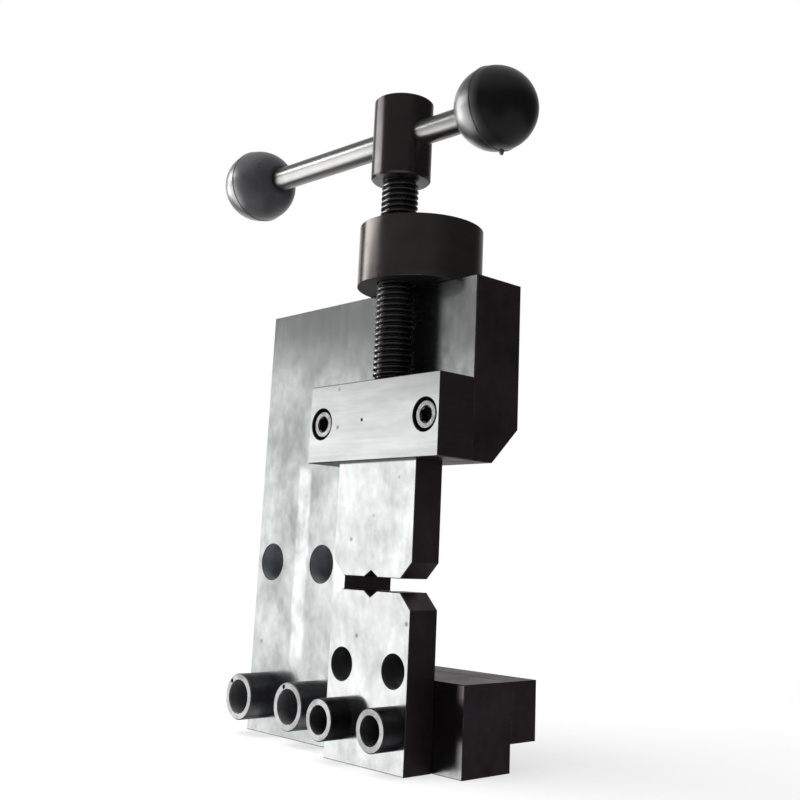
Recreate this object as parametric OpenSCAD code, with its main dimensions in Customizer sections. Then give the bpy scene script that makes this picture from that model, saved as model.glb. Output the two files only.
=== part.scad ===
// Injector holding fixture: a C-shaped back plate with a fixed lower jaw and a sliding upper jaw,
// which a screw with a sliding T-bar opens and closes. Millimetres, +Z up along the screw.
// Origin: on the plate's foot, mid thickness, straight below the screw. The jaws face -Y.

/* [Back plate] */
// Overall width of the plate
plate_w = 115; // [105:1:140]
// Overall height of the plate
plate_h = 160; // [155:1:190]
// Thickness of the plate
plate_t = 22; // [18:1:30]
// Width of the spine, left of the throat
spine_w = 54; // [48:1:58]
// Height of the lower arm
lower_arm_h = 28; // [26:0.5:36]
// Height at which the upper arm starts
upper_arm_z = 97.5; // [90:0.5:105]
// Radius of the throat's inner corners
throat_r = 5; // [2:0.5:8]
// Bevel on the upper arm's rear lower edge
arm_bevel = 12.5; // [4:0.5:16]

/* [Heel] */
// Thickness of the heel behind the plate
heel_t = 12; // [10:0.5:20]
// Height of the heel's ledge above the plate's foot
heel_step = 8.8; // [4:0.2:9]
// Height of the heel screws' row
heel_screw_z = 18.4; // [16:0.2:20]
// Heel screw nearest to the right, from the screw's axis
heel_screw_x = 25.5; // [24.5:0.25:26.5]

/* [Jaws] */
// Width of both jaws
jaw_w = 39.6; // [38.5:0.1:42]
// Thickness of both jaws
jaw_t = 12; // [11.5:0.1:14]
// Height of the lower jaw
lower_jaw_h = 55; // [50:0.5:60]
// Opening between the jaws as built
jaw_gap = 4.3; // [4.2:0.1:8]
// Height of the upper jaw
upper_jaw_h = 65; // [58:0.5:68]
// Bevel on the jaws' outer corners
jaw_bevel = 5.3; // [2:0.1:7]
// Width of the V notch
vee_w = 6.7; // [3:0.1:10]
// Depth of the V notch
vee_d = 2.1; // [1:0.1:4]
// Spacing of the through screws behind the lower jaw
jaw_screw_gap = 13; // [12:0.25:13.5]
// Height of the through screws behind the lower jaw
jaw_screw_z = 20.6; // [20:0.1:21.5]

/* [Retainer] */
// Width of the retainer block
retainer_w = 66; // [65:0.5:76]
// Height of the retainer block
retainer_h = 27.4; // [22:0.2:32]
// Depth of the retainer block
retainer_t = 15.7; // [15:0.1:20]
// Spacing of the retainer's cap screws
retainer_screw_gap = 53; // [52.5:0.1:53.6]

/* [Holes and bushes] */
// First spine hole from the plate's left edge
spine_hole_x = 9.4; // [9:0.1:11]
// Spacing of the spine holes
spine_hole_gap = 30.4; // [26:0.2:34]
// Height of the spine holes
spine_hole_z = 62.5; // [50:0.5:80]
// Diameter of the spine holes
spine_hole_d = 13.5; // [10:0.1:14]
// Spacing of the lower jaw's holes
jaw_hole_gap = 25.6; // [25:0.1:26]
// Height of the lower jaw's holes
jaw_hole_z = 30.6; // [29:0.1:38]
// Diameter of the lower jaw's holes
jaw_hole_d = 10.6; // [9.6:0.1:10.8]
// Height of the row of bushes
bush_z = 13.4; // [12:0.1:14]
// Head diameter of the spine bushes
spine_bush_d = 16.4; // [15:0.1:18]
// Bore of the spine bushes
spine_bush_bore = 11.5; // [8:0.1:12]
// Length of the spine bushes in front of the plate
spine_bush_l = 11.3; // [8:0.1:16]
// Head diameter of the jaw bushes
jaw_bush_d = 13.4; // [12:0.1:13.8]
// Bore of the jaw bushes
jaw_bush_bore = 8.7; // [6:0.1:9]
// Length of the jaw bushes in front of the jaw
jaw_bush_l = 8.5; // [6:0.1:12]
// Depth of the spine bushes in the plate
spine_bush_seat = 16; // [10:0.5:17]
// Depth of the jaw bushes in the plate
jaw_bush_seat = 6; // [4:0.5:10]
// Chamfer of the bushes' front rims
bush_chamfer = 0.5; // [0.2:0.1:0.8]

/* [Nut block] */
// Diameter of the nut block
nut_d = 44.8; // [44:0.2:50]
// Height of the nut block
nut_h = 22.2; // [16:0.1:24]
// Nut block's centre behind the screw
nut_setback = 11.4; // [10.5:0.1:12]
// Spacing of the nut's cap screws
nut_screw_gap = 22; // [20:0.5:23]
// Chamfer of the nut block's rims
nut_chamfer = 0.3; // [0.2:0.1:1.5]

/* [Screw] */
// Outer diameter of the thread
thread_d = 13.2; // [12:0.1:13.4]
// Pitch of the thread
thread_pitch = 2; // [1.5:0.25:3]
// Depth of the thread
thread_depth = 1.05; // [0.6:0.05:1.2]
// Screw's axis in front of the plate
screw_out = 7.2; // [7:0.1:7.6]
// Space between the nut block's top and the hub as built
hub_gap = 15.8; // [10:0.2:30]
// Diameter of the neck in the jaw
neck_d = 6; // [5:0.1:6.4]
// Length of the neck in the jaw
neck_l = 14.5; // [13:0.5:20]
// Diameter of the neck's groove
groove_d = 4.2; // [3.6:0.1:4.4]
// Diameter of the link pins
link_pin_d = 3; // [2.5:0.1:3.2]
// Depth of the link pins below the jaw's top
link_pin_down = 8; // [6:0.5:9]
// Diameter of the spigot in the hub
spigot_d = 9; // [7:0.1:9.6]
// Length of the spigot in the hub
spigot_l = 9; // [6:0.5:9]

/* [Handle] */
// Diameter of the hub
hub_d = 21.4; // [19:0.2:26]
// Height of the hub
hub_h = 29.9; // [26:0.1:36]
// Height of the bar above the hub's foot
bar_up = 16.3; // [15:0.1:19]
// Diameter of the bar
bar_d = 9; // [7:0.1:10]
// Distance between the knobs' centres
bar_span = 127; // [100:1:160]
// Bar's middle to the left of the screw
bar_shift = 19.4; // [0:0.2:24]
// Turn of the handle as built, degrees
handle_turn = 3; // [0:1:90]
// Diameter of the ball knobs
knob_d = 28.7; // [24:0.1:32]
// Knob's flat, from its centre
knob_flat = 13; // [10.5:0.1:13.4]
// Diameter of the knobs' inserts
insert_d = 12; // [11:0.1:13]
// Length of the knobs' inserts
insert_l = 14; // [10:0.5:18]
// Diameter of the bar's threaded ends
bar_end_d = 8; // [5:0.1:8]
// Length of the bar's threaded ends
bar_end_l = 12; // [8:0.5:13]
// Height of the knob's moulding ridge
ridge_h = 0.2; // [0.1:0.05:0.4]
// Width of the knob's moulding ridge
ridge_w = 0.6; // [0.3:0.1:1]
// Diameter of the knob's moulding nub
nub_d = 1.6; // [1:0.1:3]
// Height of the knob's moulding nub
nub_h = 2; // [0.5:0.1:2.4]
// Lean of the left knob's nub to the back, degrees from straight down
nub_lean_left = 100; // [0:1:170]
// Lean of the right knob's nub to the back, degrees from straight down
nub_lean_right = 13; // [0:1:170]
// Diameter of the hub's grub screw
grub_d = 5; // [4:0.1:6]
// Height of the grub screw above the hub's foot
grub_up = 5.1; // [4:0.1:5.8]

/* [Cap screws] */
// Shank diameter of the cap screws
cap_d = 6; // [5:0.1:6.2]
// Head diameter of the cap screws
cap_head_d = 10; // [9:0.1:10.2]
// Head height of the cap screws
cap_head_h = 6; // [5:0.1:6.4]
// Width across the flats of the cap screws' sockets
cap_socket = 5; // [4:0.1:5.4]
// Depth of the cap screws' sockets
cap_socket_depth = 3; // [2:0.1:4]
// Diameter of the counterbores
counterbore_d = 11; // [10.6:0.1:11.2]
// Sinking of the heads below the surface
cap_sink = 0.6; // [0.2:0.1:1]
// Length of thread that a cap screw has in its tapped hole
thread_grip = 12; // [9:0.5:13]
// Length of thread that the through screws have in the lower jaw
jaw_grip = 9; // [7:0.5:10]
// Spare depth below a screw in its tapped hole
drill_spare = 1.5; // [1:0.25:2]

/* [Clearances] */
// Gap between sliding flats
slide_clear = 0.1; // [0.05:0.05:0.2]
// Radial gap of turning and sliding round fits
run_clear = 0.06; // [0.03:0.01:0.1]
// Radial gap of seated round parts
seat_clear = 0.02; // [0.01:0.01:0.05]
// Gap between the link pins and the groove
pin_clear = 0.3; // [0.2:0.05:0.4]
// Radial gap round the screw in the retainer
relief_clear = 0.3; // [0.2:0.05:0.5]
// Depth left below the screw in the retainer when the jaws are shut
relief_spare = 3; // [2:0.5:6]

/* [Hidden] */
$fn = 64;
over = 1;

front_y = -plate_t / 2;
back_y = plate_t / 2;
right_x = retainer_w / 2;
left_x = right_x - plate_w;
throat_x = left_x + spine_w;
heel_back_y = back_y + heel_t;

jaw_back_y = front_y - slide_clear;
lower_jaw_front_y = front_y - jaw_t;
jaw_bottom_z = lower_jaw_h + jaw_gap;
jaw_top_z = jaw_bottom_z + upper_jaw_h;
channel_w = jaw_w + 2 * slide_clear;
channel_t = jaw_t + 2 * slide_clear;

screw_y = front_y - screw_out;
hub_z = plate_h + nut_h + hub_gap;
screw_len = hub_z - jaw_top_z;
bar_z = hub_z + bar_up;
nut_y = screw_y + nut_setback;
thread_r = thread_d / 2;
relief_z = jaw_top_z - jaw_gap - relief_spare;
root_r = thread_r - thread_depth;
groove_l = link_pin_d + 2 * pin_clear;
link_pin_x = groove_d / 2 + pin_clear + link_pin_d / 2;
link_pin_z = jaw_top_z - link_pin_down;
neck_hole_spare = 1;
shoulder_l = 2;
runout_l = 1;
edge_chamfer = 0.5;

cap_drop = cap_head_h + cap_sink;
retainer_screw_z = upper_arm_z + retainer_h / 2;
spine_hole_xs = [left_x + spine_hole_x, left_x + spine_hole_x + spine_hole_gap];
heel_screw_xs = [(spine_hole_xs[0] + spine_hole_xs[1]) / 2, heel_screw_x];
jaw_screw_xs = [-jaw_screw_gap / 2, jaw_screw_gap / 2];
retainer_screw_xs = [-retainer_screw_gap / 2, retainer_screw_gap / 2];
nut_screw_xs = [-nut_screw_gap / 2, nut_screw_gap / 2];
bush_shank_clear = 2 * seat_clear;
insert_bore_spare = 0.5;
grub_l = (hub_d - spigot_d) / 2 - seat_clear - edge_chamfer;

// Points along -Y, for a thing drawn along +Z that faces the front
module facing_front(x, y, z) {
    translate([x, y, z])
        rotate([90, 0, 0])
            children();
}

// Points along +Y, for a thing drawn along +Z that faces the back
module facing_back(x, y, z) {
    translate([x, y, z])
        rotate([-90, 0, 0])
            children();
}

// Turns a thing drawn about the bar's axis, along +X from the screw, to the handle's place
module on_handle() {
    translate([0, screw_y, bar_z])
        rotate([0, 0, handle_turn])
            children();
}

// Round bar with chamfered ends, along +Z from the origin
module chamfered_rod(d, l, c) {
    rotate_extrude()
        polygon([
            [0, 0], [d / 2 - c, 0], [d / 2, c], [d / 2, l - c], [d / 2 - c, l], [0, l]
        ]);
}

// Socket head cap screw along -Z, the head's seat at the origin
module cap_screw(grip) {
    difference() {
        union() {
            chamfered_rod(cap_head_d, cap_head_h, edge_chamfer);
            translate([0, 0, -grip])
                cylinder(d = cap_d, h = grip + over);
        }
        translate([0, 0, cap_head_h - cap_socket_depth])
            cylinder(d = cap_socket / cos(30), h = cap_socket_depth + over, $fn = 6);
    }
}

// Hole for a cap screw along -Z with the head sunk from the origin, through a wall
module counterbored_hole(wall) {
    translate([0, 0, -cap_drop])
        cylinder(d = counterbore_d, h = cap_drop + over);
    translate([0, 0, -wall - over])
        cylinder(d = cap_d + 2 * seat_clear, h = wall + 2 * over);
}

// Tapped hole along -Z from the origin, deep enough for the given thread
module tapped_hole(grip) {
    translate([0, 0, -grip - drill_spare])
        cylinder(d = cap_d + 2 * seat_clear, h = grip + drill_spare + over);
}

// Jaw outline with bevelled corners and a V notch in its top edge
module jaw_outline(h) {
    polygon([
        [-jaw_w / 2, 0], [jaw_w / 2, 0], [jaw_w / 2, h - jaw_bevel], [jaw_w / 2 - jaw_bevel, h],
        [vee_w / 2, h], [0, h - vee_d], [-vee_w / 2, h],
        [-jaw_w / 2 + jaw_bevel, h], [-jaw_w / 2, h - jaw_bevel]
    ]);
}

// Headed bush along +Z: the shank goes down from the origin and the head stands up from it
module headed_bush(head_d, head_l, shank_d, shank_l, bore_d) {
    rotate_extrude()
        polygon([
            [bore_d / 2, -shank_l], [shank_d / 2, -shank_l], [shank_d / 2, 0], [head_d / 2, 0],
            [head_d / 2, head_l - bush_chamfer], [head_d / 2 - bush_chamfer, head_l],
            [bore_d / 2 + bush_chamfer, head_l], [bore_d / 2, head_l - bush_chamfer]
        ]);
}

// Throat between the arms, with round inner corners
module throat_cut() {
    throat_h = upper_arm_z - lower_arm_h;
    reach = right_x - throat_x;
    translate([throat_x + throat_r, front_y - over, lower_arm_h])
        cube([reach - throat_r + over, plate_t + 2 * over, throat_h]);
    translate([throat_x, front_y - over, lower_arm_h + throat_r])
        cube([throat_r + over, plate_t + 2 * over, throat_h - 2 * throat_r]);
    for (z = [lower_arm_h + throat_r, upper_arm_z - throat_r])
        facing_front(throat_x + throat_r, back_y + over, z)
            cylinder(r = throat_r, h = plate_t + 2 * over);
}

// Bevel on the rear lower edge of the upper arm
module arm_bevel_cut() {
    reach = right_x - throat_x;
    translate([right_x + over, 0, 0])
        rotate([90, 0, -90])
            linear_extrude(reach + over)
                polygon([
                    [-back_y - over, upper_arm_z - over],
                    [-back_y + arm_bevel + over, upper_arm_z - over],
                    [-back_y - over, upper_arm_z + arm_bevel + over]
                ]);
}

module back_plate() {
    color("dimgray")
        difference() {
            translate([left_x, front_y, 0])
                cube([plate_w, plate_t, plate_h]);
            throat_cut();
            arm_bevel_cut();
            for (x = spine_hole_xs) {
                facing_front(x, back_y + over, spine_hole_z)
                    cylinder(d = spine_hole_d, h = plate_t + 2 * over);
                facing_front(x, front_y + spine_bush_seat, bush_z)
                    cylinder(d = spine_hole_d, h = spine_bush_seat + over);
            }
            for (x = [-jaw_hole_gap / 2, jaw_hole_gap / 2])
                facing_front(x, front_y + jaw_bush_seat, bush_z)
                    cylinder(d = jaw_hole_d, h = jaw_bush_seat + over);
            for (x = retainer_screw_xs)
                facing_front(x, front_y, retainer_screw_z)
                    tapped_hole(thread_grip);
            for (x = heel_screw_xs)
                facing_back(x, back_y, heel_screw_z)
                    tapped_hole(thread_grip);
            for (x = jaw_screw_xs)
                facing_back(x, front_y - over, jaw_screw_z)
                    cylinder(d = cap_d + 2 * seat_clear, h = plate_t + 2 * over);
            for (x = nut_screw_xs)
                translate([x, 0, plate_h])
                    tapped_hole(thread_grip);
        }
}

module heel_block() {
    color("dimgray")
        difference() {
            translate([left_x, back_y, heel_step])
                cube([plate_w, heel_t, lower_arm_h - heel_step]);
            for (x = heel_screw_xs)
                facing_back(x, heel_back_y, heel_screw_z)
                    counterbored_hole(heel_t);
            for (x = jaw_screw_xs)
                facing_back(x, heel_back_y, jaw_screw_z)
                    counterbored_hole(heel_t);
        }
}

module heel_screws() {
    color("gray")
        for (x = heel_screw_xs)
            facing_back(x, heel_back_y - cap_drop, heel_screw_z)
                cap_screw(heel_t - cap_drop + thread_grip);
}

module jaw_screws() {
    color("gray")
        for (x = jaw_screw_xs)
            facing_back(x, heel_back_y - cap_drop, jaw_screw_z)
                cap_screw(heel_t - cap_drop + plate_t + jaw_grip);
}

module lower_jaw() {
    color("slategray")
        difference() {
            facing_front(0, front_y, 0)
                linear_extrude(jaw_t)
                    jaw_outline(lower_jaw_h);
            for (x = [-jaw_hole_gap / 2, jaw_hole_gap / 2], z = [bush_z, jaw_hole_z])
                facing_front(x, front_y + over, z)
                    cylinder(d = jaw_hole_d, h = jaw_t + 2 * over);
            for (x = jaw_screw_xs)
                facing_back(x, front_y, jaw_screw_z)
                    tapped_hole(jaw_grip);
        }
}

module upper_jaw() {
    color("slategray")
        difference() {
            facing_front(0, jaw_back_y, jaw_top_z)
                linear_extrude(jaw_t)
                    mirror([0, 1])
                        jaw_outline(upper_jaw_h);
            translate([0, screw_y, jaw_top_z - neck_l - neck_hole_spare])
                cylinder(d = neck_d + 2 * run_clear, h = neck_l + neck_hole_spare + over);
            for (x = [-link_pin_x, link_pin_x])
                facing_front(x, jaw_back_y + over, link_pin_z)
                    cylinder(d = link_pin_d + 2 * seat_clear, h = jaw_t + 2 * over);
        }
}

module jaw_link_pins() {
    color("silver")
        for (x = [-link_pin_x, link_pin_x])
            facing_front(x, jaw_back_y, link_pin_z)
                cylinder(d = link_pin_d, h = jaw_t);
}

module retainer_block() {
    color("dimgray")
        difference() {
            translate([-retainer_w / 2, front_y - retainer_t, upper_arm_z])
                cube([retainer_w, retainer_t, retainer_h]);
            translate([-channel_w / 2, front_y - channel_t, upper_arm_z - over])
                cube([channel_w, channel_t + over, retainer_h + 2 * over]);
            translate([0, screw_y, relief_z])
                cylinder(d = thread_d + 2 * relief_clear, h = retainer_h);
            for (x = retainer_screw_xs)
                facing_front(x, front_y - retainer_t, retainer_screw_z)
                    counterbored_hole(retainer_t);
        }
}

module retainer_screws() {
    color("gray")
        for (x = retainer_screw_xs)
            facing_front(x, front_y - retainer_t + cap_drop, retainer_screw_z)
                cap_screw(retainer_t - cap_drop + thread_grip);
}

module spine_bush(x) {
    color("gray")
        facing_front(x, front_y, bush_z)
            headed_bush(
                spine_bush_d, spine_bush_l,
                spine_hole_d - bush_shank_clear, spine_bush_seat, spine_bush_bore
            );
}

module spine_bush_left() {
    spine_bush(spine_hole_xs[0]);
}

module spine_bush_right() {
    spine_bush(spine_hole_xs[1]);
}

module jaw_bush(x) {
    color("gray")
        facing_front(x, lower_jaw_front_y, bush_z)
            headed_bush(
                jaw_bush_d, jaw_bush_l,
                jaw_hole_d - bush_shank_clear, jaw_t + jaw_bush_seat, jaw_bush_bore
            );
}

module jaw_bush_left() {
    jaw_bush(-jaw_hole_gap / 2);
}

module jaw_bush_right() {
    jaw_bush(jaw_hole_gap / 2);
}

module screw_nut() {
    color("dimgray")
        difference() {
            translate([0, nut_y, plate_h])
                chamfered_rod(nut_d, nut_h, nut_chamfer);
            translate([0, screw_y, plate_h - over])
                cylinder(d = thread_d + 2 * run_clear, h = nut_h + 2 * over);
            for (x = nut_screw_xs)
                translate([x, 0, plate_h + nut_h])
                    counterbored_hole(nut_h);
        }
}

module nut_screws() {
    color("gray")
        for (x = nut_screw_xs)
            translate([x, 0, plate_h + nut_h - cap_drop])
                cap_screw(nut_h - cap_drop + thread_grip);
}

// One turned piece: neck with groove, shoulder, threaded stretch with a ring for each turn, spigot
module lead_screw() {
    turns = floor((screw_len - shoulder_l - runout_l) / thread_pitch);
    crest = thread_pitch / 4;
    flank = thread_pitch / 4;
    groove_mid = -link_pin_down;
    neck_points = [
        [0, -neck_l], [neck_d / 2 - edge_chamfer, -neck_l], [neck_d / 2, -neck_l + edge_chamfer],
        [neck_d / 2, groove_mid - groove_l / 2], [groove_d / 2, groove_mid - groove_l / 2],
        [groove_d / 2, groove_mid + groove_l / 2], [neck_d / 2, groove_mid + groove_l / 2],
        [neck_d / 2, 0], [thread_r, 0]
    ];
    thread_points = [
        for (i = [0:turns - 1], p = [
            [thread_r, 0], [root_r, flank], [root_r, flank + crest], [thread_r, 2 * flank + crest]
        ])
            [p[0], shoulder_l + i * thread_pitch + p[1]]
    ];
    top_points = [
        [thread_r, screw_len], [spigot_d / 2, screw_len],
        [spigot_d / 2, screw_len + spigot_l - edge_chamfer],
        [spigot_d / 2 - edge_chamfer, screw_len + spigot_l], [0, screw_len + spigot_l]
    ];
    color("dimgray")
        translate([0, screw_y, jaw_top_z])
            rotate_extrude()
                polygon(concat(neck_points, thread_points, top_points));
}

module handle_hub() {
    color("dimgray")
        difference() {
            translate([0, screw_y, hub_z])
                chamfered_rod(hub_d, hub_h, edge_chamfer);
            translate([0, screw_y, hub_z - over])
                cylinder(d = spigot_d + 2 * seat_clear, h = spigot_l + over + seat_clear);
            on_handle()
                translate([-hub_d, 0, 0])
                    rotate([0, 90, 0])
                        cylinder(d = bar_d + 2 * run_clear, h = 2 * hub_d);
            on_handle()
                facing_back(0, 0, grub_up - bar_up)
                    cylinder(d = grub_d + 2 * seat_clear, h = hub_d);
        }
}

module hub_grub_screw() {
    color("gray")
        on_handle()
            facing_back(0, spigot_d / 2 + seat_clear, grub_up - bar_up)
                difference() {
                    chamfered_rod(grub_d, grub_l, edge_chamfer);
                    translate([0, 0, grub_l / 2])
                        cylinder(d = grub_d / 2 / cos(30), h = grub_l, $fn = 6);
                }
}

// Bar with a threaded end in each knob
module t_bar() {
    bar_l = bar_span - 2 * knob_flat;
    color("lightgray")
        on_handle()
            translate([-bar_shift - bar_l / 2, 0, 0])
                rotate([0, 90, 0]) {
                    cylinder(d = bar_d, h = bar_l);
                    translate([0, 0, -bar_end_l])
                        cylinder(d = bar_end_d, h = bar_l + 2 * bar_end_l);
                }
}

// Ball along +X from the bar, turned about it: flat towards the bar, a moulding ridge round its middle and a nub
// on the ridge that leans towards +Y
module ball_knob(nub_lean) {
    rotate([0, 90, 0])
        rotate_extrude()
            difference() {
                intersection() {
                    union() {
                        circle(d = knob_d);
                        translate([0, -ridge_w / 2])
                            square([knob_d / 2 + ridge_h, ridge_w]);
                    }
                    translate([0, -knob_flat])
                        square([knob_d, 2 * knob_d]);
                }
                translate([-over, -knob_flat - over])
                    square([insert_d / 2 + seat_clear + over, insert_l + over]);
            }
    rotate([nub_lean, 0, 0])
        translate([0, 0, -knob_d / 2 - nub_h])
            cylinder(d = nub_d, h = knob_d / 4);
}

// Insert along +X, its face flush with the knob's flat
module knob_insert() {
    translate([-knob_flat, 0, 0])
        rotate([0, 90, 0])
            difference() {
                cylinder(d = insert_d, h = insert_l);
                translate([0, 0, -over])
                    cylinder(
                        d = bar_end_d + 2 * seat_clear,
                        h = bar_end_l + insert_bore_spare + over
                    );
            }
}

module knob_left() {
    color([0.06, 0.06, 0.06])
        on_handle()
            translate([-bar_shift - bar_span / 2, 0, 0])
                rotate([0, 0, 180])
                    ball_knob(-nub_lean_left);
}

module knob_right() {
    color([0.06, 0.06, 0.06])
        on_handle()
            translate([-bar_shift + bar_span / 2, 0, 0])
                ball_knob(nub_lean_right);
}

module knob_insert_left() {
    color("dimgray")
        on_handle()
            translate([-bar_shift - bar_span / 2, 0, 0])
                rotate([0, 0, 180])
                    knob_insert();
}

module knob_insert_right() {
    color("dimgray")
        on_handle()
            translate([-bar_shift + bar_span / 2, 0, 0])
                knob_insert();
}

back_plate();
heel_block();
heel_screws();
jaw_screws();
lower_jaw();
upper_jaw();
jaw_link_pins();
retainer_block();
retainer_screws();
spine_bush_left();
spine_bush_right();
jaw_bush_left();
jaw_bush_right();
screw_nut();
nut_screws();
lead_screw();
handle_hub();
hub_grub_screw();
t_bar();
knob_left();
knob_right();
knob_insert_left();
knob_insert_right();
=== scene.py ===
"""Looks of the injector holding fixture: blackened steel blocks, a real helical thread, ball knobs."""

import math

import bmesh
import bpy
from mathutils import Matrix, Vector


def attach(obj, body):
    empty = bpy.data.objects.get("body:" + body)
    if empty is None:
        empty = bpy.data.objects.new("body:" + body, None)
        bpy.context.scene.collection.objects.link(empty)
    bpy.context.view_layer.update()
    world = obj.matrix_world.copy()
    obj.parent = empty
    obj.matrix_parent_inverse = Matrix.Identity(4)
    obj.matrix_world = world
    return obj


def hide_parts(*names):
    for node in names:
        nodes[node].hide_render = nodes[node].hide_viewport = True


MM = 0.001

# Sizes in millimetres, nearly all as the part's source has them
PLATE_LEFT, PLATE_RIGHT, PLATE_TOP = -82.0, 33.0, 160.0
PLATE_FRONT, PLATE_BACK = -11.0, 11.0
THROAT_LEFT, LOWER_ARM_TOP, UPPER_ARM_FOOT, THROAT_ROUND = -28.0, 28.0, 97.5, 5.0
ARM_BEVEL = 12.5
HEEL_BACK, HEEL_STEP = 23.0, 8.8
JAW_HALF, JAW_THICK, JAW_BEVEL = 19.8, 12.0, 5.3
VEE_HALF, VEE_DEEP = 3.35, 2.1
LOWER_JAW_TOP, UPPER_JAW_FOOT, UPPER_JAW_TOP = 55.0, 59.3, 124.3
SLIDE_GAP = 0.1
RETAINER_HALF, RETAINER_THICK, RETAINER_TOP = 33.0, 15.7, 124.9
RELIEF_FOOT, RELIEF_ROUND, RELIEF_HIGH = 117.0, 6.9, 12.0
SPINE_HOLES, SPINE_HOLE_Z, SPINE_HOLE_R = (-72.6, -42.2), 62.5, 6.75
JAW_HOLES, JAW_HOLE_Z, JAW_HOLE_R = (-12.8, 12.8), 30.6, 5.3
BUSH_Z = 13.4
SPINE_BUSH = dict(head_r=8.2, head_long=11.3, shank_r=6.73, shank_long=16.0, bore_r=5.75)
JAW_BUSH = dict(head_r=6.7, head_long=8.5, shank_r=5.28, shank_long=18.0, bore_r=4.35)
NUT_Y, NUT_R, NUT_TOP, NUT_PLAY = -6.8, 22.4, 182.2, 0.06
SCREW_Y, THREAD_R, THREAD_DEEP, THREAD_PITCH = -18.2, 6.6, 1.05, 2.0
SCREW_FOOT, HUB_FOOT, HUB_HIGH, HUB_R = 124.3, 198.0, 29.9, 10.7
NECK_R, NECK_LONG, GROOVE_R, GROOVE_FOOT, GROOVE_TOP = 3.0, 14.5, 2.1, -9.8, -6.2
SPIGOT_R, SPIGOT_HIGH = 4.5, 9.0
GRUB_R, GRUB_HIGH = 2.52, 5.1
BAR_Z, BAR_R, BAR_MIDDLE, BAR_SPAN, BAR_TURN = 214.3, 4.5, -19.4, 127.0, math.radians(3)
BAR_END_R, BAR_END_LONG = 4.0, 12.0
KNOB_R, KNOB_FLAT, KNOB_HOLE_R = 14.35, 13.0, 6.02
NUB_R, NUB_HIGH, NUB_LEANS = 1.0, 1.5, (math.radians(100), math.radians(13))
COUNTERBORE_R, HEAD_DROP = 5.5, 6.6
HEAD_R, HEAD_HIGH, SOCKET_ACROSS, SOCKET_FOOT, SHANK_R = 5.0, 6.0, 5.0, 3.0, 3.0
HEEL_SCREWS, JAW_SCREWS = ((-57.4, 18.4), (25.5, 18.4)), ((-6.5, 20.6), (6.5, 20.6))
RETAINER_SCREWS, RETAINER_SCREW_Z = (-26.5, 26.5), 111.2
NUT_SCREWS = (-11.0, 11.0)
LINK_PINS, LINK_PIN_Z, LINK_PIN_R = (-3.9, 3.9), 116.3, 1.52

# What the photograph adds: chamfers, a punch mark and the turn of a notch in each spine bush's rim
EDGE, FINE_EDGE, RETAINER_EDGE, RIM = 0.25, 0.15, 0.3, 0.3
PUNCH_MARK, PUNCH_R, PUNCH_DEEP = (-4.6, 111.4), 0.65, 0.6
NOTCH_TURNS, NOTCH_R, NOTCH_DEEP = (132, 113), 0.75, 0.9

# Camera, fitted to the photograph's 800 by 800 frame
PHOTO_SIDE = 800
FOCAL_PIXELS, CENTRE_COLUMN, CENTRE_ROW = 1067.54, 440, 336
CAMERA_PLACE = (0.274456, -0.258908, 0.065902)
CAMERA_YAW, CAMERA_PITCH, CAMERA_ROLL = 0.8063, 0.2060, 0.0386

FRONT, RIGHT, UP, DOWN = (0, -1, 0), (1, 0, 0), (0, 0, 1), (0, 0, -1)

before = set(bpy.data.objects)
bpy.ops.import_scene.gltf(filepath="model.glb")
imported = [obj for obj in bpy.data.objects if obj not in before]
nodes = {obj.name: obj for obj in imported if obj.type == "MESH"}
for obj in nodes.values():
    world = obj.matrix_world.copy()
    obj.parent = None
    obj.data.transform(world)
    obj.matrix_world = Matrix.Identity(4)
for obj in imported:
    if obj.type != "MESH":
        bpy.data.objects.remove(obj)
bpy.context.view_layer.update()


# Node helpers

def feed(tree, node, fed):
    """Links a socket, or sets a plain value, on each of the node's inputs that fed names."""
    for name, source in fed.items():
        if isinstance(source, bpy.types.NodeSocket):
            tree.links.new(source, node.inputs[name])
        else:
            node.inputs[name].default_value = source


def add_node(tree, kind, fed=None, **settings):
    node = tree.nodes.new(kind)
    for key, value in settings.items():
        setattr(node, key, value)
    feed(tree, node, fed or {})
    return node


def maths(tree, operation, a, b=0.0, clamp=False):
    return add_node(tree, "ShaderNodeMath", {0: a, 1: b}, operation=operation, use_clamp=clamp).outputs[0]


def times(tree, first, *others):
    for other in others:
        first = maths(tree, "MULTIPLY", first, other)
    return first


def plus(tree, first, *others):
    for other in others:
        first = maths(tree, "ADD", first, other)
    return first


def minus(tree, a, b):
    return maths(tree, "SUBTRACT", a, b)


def most(tree, a, b):
    return maths(tree, "MAXIMUM", a, b)


def vectors(tree, operation, a, b=(0, 0, 0)):
    """Vector maths, with a plain number as the result for a length or a dot product."""
    node = add_node(tree, "ShaderNodeVectorMath", {0: a, 1: b}, operation=operation)
    return node.outputs["Value" if operation in ("LENGTH", "DOT_PRODUCT") else "Vector"]


def ramped(tree, value, low, high, to_low=0.0, to_high=1.0, smooth=True):
    return add_node(tree, "ShaderNodeMapRange", {
        "Value": value, "From Min": low, "From Max": high, "To Min": to_low, "To Max": to_high,
    }, clamp=True, interpolation_type="SMOOTHSTEP" if smooth else "LINEAR").outputs["Result"]


def spread(tree, share, at_none, at_all):
    """Goes straight from one number to another as the share goes from zero to one."""
    return ramped(tree, share, 0.0, 1.0, at_none, at_all, smooth=False)


# Shader helpers

def blend_colour(tree, factor, a, b, kind="MIX"):
    """Blends two colours, each a socket or plain red, green and blue."""
    a, b = [(*colour, 1) if isinstance(colour, tuple) else colour for colour in (a, b)]
    return add_node(tree, "ShaderNodeMix", {0: factor, 6: a, 7: b}, data_type="RGBA", blend_type=kind).outputs[2]


def object_place(tree):
    return add_node(tree, "ShaderNodeTexCoord").outputs["Object"]


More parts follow.
